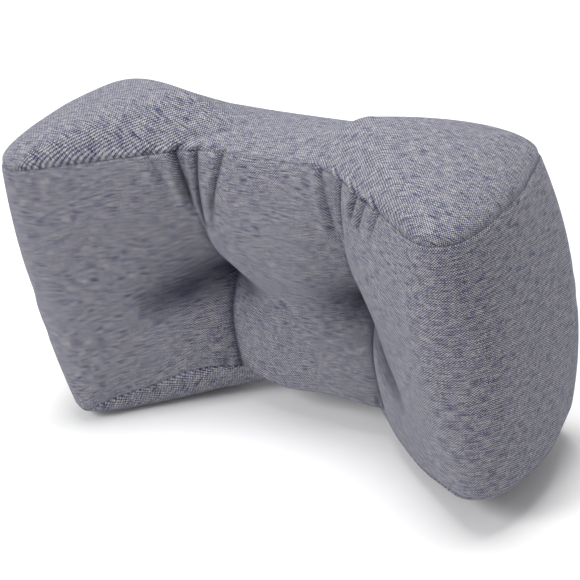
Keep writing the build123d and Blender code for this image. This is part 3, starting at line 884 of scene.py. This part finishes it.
def along_line(line, outward, pitch):
    """Even places on a line: position, direction and outward direction at each."""
    length = np.concatenate([[0], np.cumsum(np.linalg.norm(np.diff(line, axis=0), axis=1))])
    number = max(2, int(length[-1] / pitch))
    at = (np.arange(number) + 0.5) * length[-1] / number

    def read(values, where):
        return np.stack([np.interp(where, length, values[:, axis]) for axis in range(3)], 1)

    place = read(line, at)
    direction = read(line, at + pitch * 0.3) - read(line, at - pitch * 0.3)
    direction /= np.linalg.norm(direction, axis=1)[:, None]
    up = read(outward, at)
    up -= (up * direction).sum(1)[:, None] * direction
    up /= np.linalg.norm(up, axis=1)[:, None]
    return place, direction, up


def sew(name, lines, pitch=STITCH_PITCH, length=STITCH_LENGTH, lift=-0.05 * MM):
    """One mesh of grains along each (line, outward) pair, lifted out of the cloth or sunk into it."""
    points, sides, ends = thread_grain(length, THREAD_WIDTH)
    all_points, all_faces, start = [], [], 0
    for line, outward in lines:
        place, direction, up = along_line(line, outward, pitch)
        across = np.cross(up, direction)
        axes = np.stack([direction, across, up], 1)
        grains = (place + up * lift)[:, None] + points @ axes
        offset = start + np.arange(len(place))[:, None, None] * len(points)
        all_points.append(grains.reshape(-1, 3))
        all_faces += (sides[None] + offset).reshape(-1, 4).tolist()
        all_faces += (ends[None] + offset).reshape(-1, 3).tolist()
        start += len(place) * len(points)
    piece = make_mesh(name, np.concatenate(all_points), all_faces)
    piece.data.shade_smooth()
    print(name, len(all_faces), "faces")
    return piece


def seam_line(up):
    """The long seam as it lies in its groove, with the direction out of the cushion."""
    s = np.append(np.linspace(-loop_length / 2, loop_length / 2, 1400, endpoint=False), loop_length / 2)
    line = finished_band(s, np.full(s.shape, top_seam_z if up else bottom_seam_z))
    outward = round_loop(loop_outward, s)
    lean = np.full((len(s), 1), 0.8 if up else -0.8)
    return line, np.concatenate([outward[:, :2], lean], 1)


def upright_line(s, low_z, high_z, count=160):
    """A line straight up the band at distance s."""
    z = np.linspace(low_z, high_z, count)
    side = round_loop(loop_outward, np.full(count, s))
    return finished_band(np.full(count, s), z), side


END_GAP = 2 * MM
top_stitches = sew("top_seam_stitches", [seam_line(True)])
bottom_stitches = sew("bottom_seam_stitches", [seam_line(False)])
side_stitches = sew("side_seam_stitches", [upright_line(side * seam_corner_s, bottom_seam_z + END_GAP,
                                                        top_seam_z - END_GAP) for side in (-1, 1)])
left_dart, right_dart = (
    sew(name, [upright_line(side * channel_s, bottom_seam_z + END_GAP, channel_z - 4 * MM)],
        pitch=3.4 * MM, lift=0.1 * MM)
    for side, name in ((-1, "left_dart_stitches"), (1, "right_dart_stitches")))

# %% [markdown]
# The zip is held to the back panels by a row of topstitching above and below it, and past its ends a short
# seam joins the two panels.

# %% Zip topstitching and the short back seams
TOPSTITCH_GAP = 7.6 * MM
SLOT_TO_SEAM = 3 * MM


def level_line(z, low_x, high_x, count=400):
    """A line along the back at height z, from high x to low x."""
    x = np.linspace(high_x, low_x, count)
    right_back = loop_points[widest:]
    s = np.interp(-np.abs(x), -right_back[:, 0], side_s + np.arange(len(right_back)) * loop_step)
    s = np.where(x >= 0, s, loop_length - s)
    return finished_band(s, np.full(count, z)), np.tile([0.0, 1.0, 0.0], (count, 1))


topstitches = sew("zip_topstitches",
                  [level_line(zip_z + sign * TOPSTITCH_GAP, -SLOT_HALF_LENGTH, SLOT_HALF_LENGTH)
                   for sign in (-1, 1)], pitch=3.3 * MM, length=2.6 * MM, lift=0.12 * MM)
short_start = SLOT_HALF_LENGTH + SLOT_TO_SEAM
short_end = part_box("back_seam_threads")[1].x - SLOT_TO_SEAM
back_stitches = sew("back_seam_stitches", [level_line(zip_z, short_start, short_end, 40),
                                           level_line(zip_z, -short_end, -short_start, 40)])

# %% [markdown]
# A coil zip is one plastic wire wound into a flattened spring along each tape. A wire is a small ring carried
# along a path, so the path is the whole design: an oval helix. The two rows stay apart by the thickness of
# the post in the slider, because the post has to run between them along the whole zip.

# %% Zip coils
COIL_PITCH = 1.6 * MM
COIL_WIRE = 0.6 * MM
COIL_HALF_WIDTH = 0.8 * MM
COIL_SHIFT = 0.1 * MM
PLACES_PER_TURN = 10


def wire(name, path, width, around=6):
    """A ring of points at each place on the path, set square to it, closed by a fan at both ends."""
    along = np.gradient(path, axis=0)
    along /= np.linalg.norm(along, axis=1)[:, None]
    side = np.cross(along, [1.0, 0.0, 0.0])
    side /= np.linalg.norm(side, axis=1)[:, None]
    up = np.cross(along, side)
    angle = (np.arange(around) / around * 2 * math.pi)[:, None]
    rings = path[:, None] + width / 2 * (np.cos(angle) * side[:, None] + np.sin(angle) * up[:, None])
    points = np.concatenate([rings.reshape(-1, 3), path[:1], path[-1:]])
    faces = grid_faces(len(path), around, around=True).tolist() + end_fans(len(path), around).tolist()
    piece = make_mesh(name, points, faces)
    piece.data.shade_smooth()
    print(name, len(faces), "faces")
    return piece


def coil(name, upward):
    """A helix along the zip, oval across it; the lower one is half a turn behind."""
    low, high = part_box("zipper_coil_upper" if upward else "zipper_coil_lower")
    turns = int((high.x - low.x) / COIL_PITCH) - 1
    turn = np.linspace(0, turns, turns * PLACES_PER_TURN + 1)
    angle = 2 * math.pi * turn + (0 if upward else math.pi)
    sign = 1 if upward else -1
    x = low.x + COIL_PITCH / 2 + turn * COIL_PITCH
    y = (low.y + high.y) / 2 + ((high.y - low.y) - COIL_WIRE) / 2 * np.sin(angle)
    z = (low.z + high.z) / 2 - sign * COIL_SHIFT + sign * COIL_HALF_WIDTH * np.cos(angle)
    return wire(name, np.stack([x, y, z], 1), COIL_WIRE)


coil_upper = coil("zip_coil_upper", True)
coil_lower = coil("zip_coil_lower", False)

# %% [markdown]
# Inside, a thin lining bag keeps the fibre off the cover, and three masses of fibre fill the two lobes and
# the middle. None of it is seen, but each is its own piece, made from the same surface set inwards.

# %% Lining and filling
LINING_INSET = 2.6 * MM
LINING_THICKNESS = 0.4 * MM
FILL_INSET = 4.0 * MM
TIE_CLEARANCE = 7 * MM


def inner_skin(inset, columns=168, rows=30, steps=12):
    """The closed skin again, set inwards, with the moves of the blown one."""
    points, faces, band_ids, s, z = closed_skin(columns, rows, steps, inset)
    points[band_ids] = finished_band(*np.meshgrid(s, z), inset)
    rise = (np.arange(1, steps + 1) / steps) ** RISE_SPACING
    start = band_ids.size
    for up in (True, False):
        cap = finished_cap(*np.meshgrid(s, rise), up, inset)
        points[start:start + (steps - 1) * columns] = cap[:-1].reshape(-1, 3)
        start += (steps - 1) * columns
        points[start:start + columns // 2 + 1] = cap[-1, :columns // 2 + 1]
        start += columns // 2 + 1
    points[:, 1] = np.minimum(points[:, 1], back_y - inset)
    points[:, 2] = np.maximum(points[:, 2], inset * 0.7)
    return points, faces.tolist()


lining = make_mesh("lining", *inner_skin(LINING_INSET))
lining.data.shade_smooth()
lining_body = lining.modifiers.new("lining thickness", "SOLIDIFY")
lining_body.thickness = LINING_THICKNESS
lining_body.offset = -1


def filling(name, low_x, high_x):
    """The inner skin cut at one or two upright planes, each cut closed with a face."""
    piece = make_mesh(name, *inner_skin(FILL_INSET))
    cutter = bmesh.new()
    cutter.from_mesh(piece.data)
    for x, outward in ((low_x, -1), (high_x, 1)):
        if x is None:
            continue
        everything = cutter.verts[:] + cutter.edges[:] + cutter.faces[:]
        cut = bmesh.ops.bisect_plane(cutter, geom=everything, dist=1e-6, plane_co=(x, 0, 0),
                                     plane_no=(outward, 0, 0), clear_outer=True)
        rim = [part for part in cut["geom_cut"] if isinstance(part, bmesh.types.BMEdge)]
        bmesh.ops.triangle_fill(cutter, edges=rim, use_beauty=True)
    bmesh.ops.recalc_face_normals(cutter, faces=cutter.faces[:])
    cutter.to_mesh(piece.data)
    cutter.free()
    piece.data.shade_smooth()
    print(name, len(piece.data.polygons), "faces")
    return piece


fill_left = filling("fibre_left", None, -channel_x - TIE_CLEARANCE)
fill_centre = filling("fibre_centre", -channel_x + TIE_CLEARANCE, channel_x - TIE_CLEARANCE)
fill_right = filling("fibre_right", channel_x + TIE_CLEARANCE, None)

# %% [markdown]
# Materials are built from nodes. A few helpers keep that readable: one adds a node and wires its inputs, one
# does arithmetic. All patterns are measured in metres, on the cloth map or on Object coordinates.

# %% Node helpers
def add_node(tree, kind, inputs=None, **settings):
    """A node with its settings and inputs; an input is a number, a colour or another node's output."""
    node = tree.nodes.new(kind)
    for key, value in settings.items():
        setattr(node, key, value)
    for key, value in (inputs or {}).items():
        if isinstance(value, bpy.types.NodeSocket):
            tree.links.new(value, node.inputs[key])
        else:
            node.inputs[key].default_value = value
    return node


def calculate(tree, operation, *values):
    """One arithmetic step on sockets and numbers."""
    return add_node(tree, "ShaderNodeMath", dict(enumerate(values)), operation=operation).outputs[0]


def combine(tree, x, y, z=0.0):
    """Three numbers as one place."""
    return add_node(tree, "ShaderNodeCombineXYZ", {0: x, 1: y, 2: z}).outputs[0]


def blend_colours(tree, share, first, second):
    """First colour where the share is 0, second where it is 1."""
    node = add_node(tree, "ShaderNodeMix", data_type="RGBA", blend_type="MIX")
    for key, value in ((0, share), (6, first), (7, second)):
        if isinstance(value, bpy.types.NodeSocket):
            tree.links.new(value, node.inputs[key])
        else:
            node.inputs[key].default_value = value
    return node.outputs[2]


def noise(tree, place, scale, detail=2.0, roughness=0.5):
    """Soft random values near one half at a place."""
    return add_node(tree, "ShaderNodeTexNoise", {"Vector": place, "Scale": scale, "Detail": detail,
                                                 "Roughness": roughness}).outputs[0]


def ramp(tree, value, low, high):
    """0 below low, 1 above high, smooth between."""
    return add_node(tree, "ShaderNodeMapRange", {0: value, 1: low, 2: high}, interpolation_type="SMOOTHSTEP",
                    clamp=True).outputs[0]


def new_material(name, **surface):
    """An empty material with one Principled shader; numbers that are the same all over go on its sockets."""
    material = bpy.data.materials.new(name)
    material.use_nodes = True
    tree = material.node_tree
    tree.nodes.clear()
    shader = add_node(tree, "ShaderNodeBsdfPrincipled")
    for key, value in surface.items():
        shader.inputs[key.replace("_", " ")].default_value = value
    output = add_node(tree, "ShaderNodeOutputMaterial")
    tree.links.new(shader.outputs[0], output.inputs[0])
    return material, tree, shader


def set_bump(tree, shader, height, distance, strength=1.0):
    """Tilts the surface by a height given as a share of the distance in metres."""
    bump = add_node(tree, "ShaderNodeBump", {"Height": height, "Distance": distance, "Strength": strength})
    tree.links.new(bump.outputs[0], shader.inputs["Normal"])


# %% [markdown]
# The cover is chambray: a plain weave of navy threads one way and cream threads the other. Each little square
# of the weave shows whichever thread is on top, so the colour is a chequer. Real yarn is uneven, so thick
# navy slubs run along the width, cream flecks sit here and there, and whole threads are darker or lighter.

# %% Chambray
YARN_PITCH = 1.0 * MM
DARK_NAVY = (0.011, 0.014, 0.060, 1)
LIGHT_NAVY = (0.058, 0.070, 0.190, 1)
# near-black navy that is painted into the creases as shade
PAINTED_SHADE_NAVY = (0.008, 0.010, 0.030, 1)
GREY_CREAM = (0.22, 0.22, 0.24, 1)
WARM_CREAM = (0.52, 0.50, 0.46, 1)
CREAM = (0.42, 0.405, 0.38, 1)
PALE_CREAM = (0.72, 0.70, 0.66, 1)


def stretched(tree, parts, wide, high, layer=0.0, detail=2.0, roughness=0.5):
    """Noise on the cloth map whose patches are about so wide and so high; the layer picks another pattern."""
    place = combine(tree, calculate(tree, "MULTIPLY", parts[0], 1 / wide),
                    calculate(tree, "MULTIPLY", parts[1], 1 / high), layer)
    return noise(tree, place, 1.0, detail, roughness)


def lay_over(tree, share, strength, below, above):
    """The colour above, at a strength, wherever the share is high."""
    return blend_colours(tree, calculate(tree, "MULTIPLY", share, strength), below, above)


def chambray():
    """A chequer of two yarns on the cloth map; noise stretched along each yarn makes its colour vary. Painted
    shade darkens the creases.
    """
    material, tree, shader = new_material("chambray", Roughness=0.92, Sheen_Weight=0.22, Sheen_Roughness=0.45,
                                          Specular_IOR_Level=0.12, Sheen_Tint=(0.80, 0.82, 0.95, 1))
    place = add_node(tree, "ShaderNodeUVMap", uv_map="cloth").outputs[0]
    wander = add_node(tree, "ShaderNodeTexNoise", {"Vector": place, "Scale": 90.0, "Detail": 1.0}).outputs[1]
    shift = add_node(tree, "ShaderNodeVectorMath", {0: wander, 1: (1.1 * MM, 1.1 * MM, 0)},
                     operation="MULTIPLY").outputs[0]
    woven = add_node(tree, "ShaderNodeVectorMath", {0: place, 1: shift}, operation="ADD").outputs[0]
    parts = add_node(tree, "ShaderNodeSeparateXYZ", {0: woven}).outputs
    across = calculate(tree, "DIVIDE", parts[0], YARN_PITCH)
    along = calculate(tree, "DIVIDE", parts[1], YARN_PITCH)
    column, row = calculate(tree, "FLOOR", across), calculate(tree, "FLOOR", along)
    parity = calculate(tree, "FLOORED_MODULO", calculate(tree, "ADD", column, row), 2.0)
    level_yarn = noise(tree, combine(tree, calculate(tree, "MULTIPLY", parts[0], 1 / (6 * MM)), row),
                       1.0, 3.0, 0.6)
    upright_yarn = noise(tree, combine(tree, column, calculate(tree, "MULTIPLY", parts[1], 1 / (9 * MM))),
                         1.0, 3.0, 0.6)
    short_slub = ramp(tree, stretched(tree, parts, 11 * MM, 1.1 * MM), 0.60, 0.72)
    long_slub = ramp(tree, stretched(tree, parts, 30 * MM, 1.4 * MM, 7.0), 0.64, 0.74)
    slub = calculate(tree, "MAXIMUM", short_slub, long_slub)
    fleck = ramp(tree, stretched(tree, parts, 2.2 * MM, 1.5 * MM, 3.0), 0.72, 0.80)
    band = stretched(tree, parts, 10 * MM, 1.0 * MM, 11.0, 3.0, 0.65)
    # the painted crease shade that the front panel carries
    painted_crease_shade = add_node(tree, "ShaderNodeAttribute", attribute_name="painted_crease_shade").outputs["Fac"]

    navy = blend_colours(tree, ramp(tree, level_yarn, 0.38, 0.66), DARK_NAVY, LIGHT_NAVY)
    cream = blend_colours(tree, ramp(tree, upright_yarn, 0.3, 0.7), GREY_CREAM, WARM_CREAM)
    navy_share = calculate(tree, "MAXIMUM", calculate(tree, "SUBTRACT", 1.0, parity),
                           calculate(tree, "MULTIPLY", slub, 0.8))
    colour = blend_colours(tree, navy_share, cream, navy)
    # the last layer is painted shade in the creases, laid over the cloth's colour
    for share, strength, above in ((ramp(tree, band, 0.49, 0.64), 0.70, DARK_NAVY),
                                   (ramp(tree, band, 0.50, 0.32), 0.42, CREAM),
                                   (fleck, 0.8, PALE_CREAM), (painted_crease_shade, 0.95, PAINTED_SHADE_NAVY)):
        colour = lay_over(tree, share, strength, colour, above)
    tree.links.new(colour, shader.inputs["Base Color"])

    over_across, over_along = (
        calculate(tree, "ABSOLUTE", calculate(tree, "SINE", calculate(tree, "MULTIPLY", way, math.pi)))
        for way in (across, along))
    height = calculate(tree, "MULTIPLY", calculate(tree, "POWER", over_across, 0.6),
                       calculate(tree, "POWER", over_along, 0.6))
    for share, strength in ((slub, 0.7), (fleck, 0.8), (level_yarn, 0.8)):
        height = calculate(tree, "ADD", height, calculate(tree, "MULTIPLY", share, strength))
    set_bump(tree, shader, height, 0.16 * MM)
    return material


cover_cloth = chambray()

# %% [markdown]
# The smaller finishes follow the same plan: one pattern for the colour, one height for the bump.

# %% Thread, lining, fibre, tape and zip finishes
def twisted_thread():
    """Patchy dye and a fibrous surface: two noises of different sizes, on Object coordinates."""
    material, tree, shader = new_material("navy_thread", Roughness=0.6, Sheen_Weight=0.2)
    place = add_node(tree, "ShaderNodeTexCoord").outputs["Object"]
    patch = noise(tree, place, 900.0, 2.0)
    colour = blend_colours(tree, patch, (0.006, 0.009, 0.035, 1), (0.022, 0.030, 0.100, 1))
    tree.links.new(colour, shader.inputs["Base Color"])
    set_bump(tree, shader, noise(tree, place, 2600.0, 1.0), 0.06 * MM)
    return material


def woven_finish(name, pitch, dark, light, roughness, sheen, slant=0.0):
    """Fine threads as the product of two sine waves across the Object coordinates x and z."""
    material, tree, shader = new_material(name, Roughness=roughness, Sheen_Weight=sheen)
    place = add_node(tree, "ShaderNodeTexCoord").outputs["Object"]
    parts = add_node(tree, "ShaderNodeSeparateXYZ", {0: place}).outputs
    turn = math.pi / pitch
    across = calculate(tree, "ADD", parts[0], calculate(tree, "MULTIPLY", parts[2], slant))
    along = calculate(tree, "ADD", parts[2], parts[1])
    waves = calculate(tree, "MULTIPLY", calculate(tree, "SINE", calculate(tree, "MULTIPLY", across, turn)),
                      calculate(tree, "SINE", calculate(tree, "MULTIPLY", along, turn)))
    share = calculate(tree, "ADD", calculate(tree, "MULTIPLY", waves, 0.35), noise(tree, place, 400.0, 3.0))
    tree.links.new(blend_colours(tree, share, dark, light), shader.inputs["Base Color"])
    set_bump(tree, shader, waves, pitch * 0.25)
    return material


def loose_fibre():
    """White fibre: fine stretched noise over larger lumps."""
    material, tree, shader = new_material("white_fibre", Roughness=0.95, Sheen_Weight=0.5)
    place = add_node(tree, "ShaderNodeTexCoord").outputs["Object"]
    strands = noise(tree, place, 700.0, 6.0, 0.7)
    lumps = noise(tree, place, 60.0, 2.0)
    tree.links.new(blend_colours(tree, strands, (0.70, 0.70, 0.69, 1), (0.92, 0.92, 0.91, 1)),
                   shader.inputs["Base Color"])
    set_bump(tree, shader, calculate(tree, "ADD", strands, lumps), 1.2 * MM)
    return material


def aged_metal():
    """Nickel with brighter rubbed patches and fine scratches."""
    material, tree, shader = new_material("nickel", Metallic=1.0)
    place = add_node(tree, "ShaderNodeTexCoord").outputs["Object"]
    rubbed = noise(tree, place, 350.0, 4.0, 0.6)
    drawn_out = add_node(tree, "ShaderNodeMapping", {0: place, 3: (300.0, 300.0, 4000.0)}).outputs[0]
    scratch = noise(tree, drawn_out, 1.0, 2.0)
    tree.links.new(blend_colours(tree, rubbed, (0.44, 0.43, 0.41, 1), (0.72, 0.71, 0.69, 1)),
                   shader.inputs["Base Color"])
    tree.links.new(calculate(tree, "ADD", 0.20, calculate(tree, "MULTIPLY", scratch, 0.22)),
                   shader.inputs["Roughness"])
    set_bump(tree, shader, scratch, 0.02 * MM)
    return material


def coil_plastic():
    """Dyed nylon wire, a little darker in places."""
    material, tree, shader = new_material("coil_nylon", Roughness=0.38)
    place = add_node(tree, "ShaderNodeTexCoord").outputs["Object"]
    tree.links.new(blend_colours(tree, noise(tree, place, 240.0, 2.0), (0.012, 0.016, 0.055, 1),
                                 (0.028, 0.036, 0.105, 1)), shader.inputs["Base Color"])
    set_bump(tree, shader, noise(tree, place, 3000.0, 1.0), 0.02 * MM)
    return material


sewing_thread = twisted_thread()
lining_cloth = woven_finish("white_lining", 0.5 * MM, (0.66, 0.66, 0.65, 1), (0.88, 0.88, 0.87, 1),
                            roughness=0.85, sheen=0.2)
fibre_filling = loose_fibre()
tie_tape = woven_finish("cream_twill_tape", 0.6 * MM, (0.55, 0.53, 0.48, 1), (0.80, 0.78, 0.72, 1),
                        roughness=0.8, sheen=0.2, slant=1.0)
zip_tape = woven_finish("navy_zip_tape", 0.5 * MM, (0.010, 0.014, 0.048, 1), (0.035, 0.045, 0.130, 1),
                        roughness=0.75, sheen=0.25, slant=1.0)
zip_coil = coil_plastic()
zip_metal = aged_metal()

# %% [markdown]
# Each piece rides on the body that carries it, takes its finish, and hides the CAD nodes that it replaces.
# CAD nodes whose shape is already right only get a better finish.

# %% Rides, finishes and what each piece replaces
def place_piece(piece, material, slot, *nodes, body="cushion"):
    """Gives a new piece its finish and its body, and hides the CAD nodes that it replaces; slot is not used.
    """
    piece.data.materials.clear()
    piece.data.materials.append(material)
    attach(piece, body)
    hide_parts(*nodes)


for piece, node_name in ((front_panel, "front_panel"), (back_upper, "back_panel_upper"),
                         (back_lower, "back_panel_lower"), (top_cap, "top_panel"),
                         (bottom_cap, "bottom_panel")):
    place_piece(piece, cover_cloth, "cover_cloth", node_name)
for piece, node_name in ((top_stitches, "top_seam_thread"), (bottom_stitches, "bottom_seam_thread"),
                         (side_stitches, "side_seam_threads"), (left_dart, "left_dart_thread"),
                         (right_dart, "right_dart_thread"), (topstitches, "zipper_stitch_threads"),
                         (back_stitches, "back_seam_threads")):
    place_piece(piece, sewing_thread, "sewing_thread", node_name)
place_piece(lining, lining_cloth, "lining_cloth", "lining_bag")
for piece, node_name in ((fill_left, "fibre_fill_left"), (fill_centre, "fibre_fill_centre"),
                         (fill_right, "fibre_fill_right")):
    place_piece(piece, fibre_filling, "fibre_filling", node_name)
place_piece(coil_upper, zip_coil, "zip_coil", "zipper_coil_upper")
place_piece(coil_lower, zip_coil, "zip_coil", "zipper_coil_lower")

for node_name, material in (("left_tie_tape", tie_tape), ("right_tie_tape", tie_tape),
                            ("zipper_tape_upper", zip_tape), ("zipper_tape_lower", zip_tape),
                            ("zipper_top_stops", zip_metal), ("zipper_bottom_stop", zip_metal),
                            ("zipper_slider", zip_metal), ("zipper_pull_tab", zip_metal)):
    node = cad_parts[node_name]
    for material_slot in node.material_slots:
        material_slot.material = material

# %% [markdown]
# The studio is a plain pale floor under a white sky. One large soft lamp stands in front on the left and a
# larger one hangs overhead. White on white gives the clean look of a product picture, and the slanting front
# lamp keeps the weave readable.

# %% Floor, light and sky
def add_lamp(name, place, aim, size, power):
    """A square lamp pointed from one place to another."""
    lamp = bpy.data.objects.new(name, bpy.data.lights.new(name, "AREA"))
    bpy.context.scene.collection.objects.link(lamp)
    lamp.data.shape = "SQUARE"
    lamp.data.size = size
    lamp.data.energy = power
    way = Vector(aim) - Vector(place)
    lamp.rotation_euler = way.to_track_quat("-Z", "Y").to_euler()
    lamp.location = place
    return lamp


add_lamp("key", (-0.8, -1.4, 1.5), (0, 0, 0.12), 0.8, 21)
add_lamp("over", (0.1, 0.2, 2.0), (0, 0, 0.15), 1.0, 37)

sky = bpy.data.worlds.new("sky")
bpy.context.scene.world = sky
sky.use_nodes = True
sky.node_tree.nodes["Background"].inputs[0].default_value = (1.0, 1.0, 1.0, 1)
sky.node_tree.nodes["Background"].inputs[1].default_value = 0.45
bpy.context.scene.view_settings.view_transform = "Standard"

FLOOR_REACH = 6.0
corners = [(-FLOOR_REACH, -FLOOR_REACH, 0), (FLOOR_REACH, -FLOOR_REACH, 0), (FLOOR_REACH, FLOOR_REACH, 0),
           (-FLOOR_REACH, FLOOR_REACH, 0)]
floor = make_mesh("floor", [(x, y, -0.2 * MM) for x, y, z in corners], [[0, 1, 2, 3]])
paper, paper_tree, paper_shader = new_material("paper_sweep", Roughness=0.9)
paper_shader.inputs["Specular IOR Level"].default_value = 0.1
grain = noise(paper_tree, add_node(paper_tree, "ShaderNodeTexCoord").outputs["Object"], 35.0, 3.0)
paper_tree.links.new(blend_colours(paper_tree, grain, (0.93, 0.93, 0.93, 1), (0.95, 0.95, 0.95, 1)),
                     paper_shader.inputs["Base Color"])
floor.data.materials.append(paper)
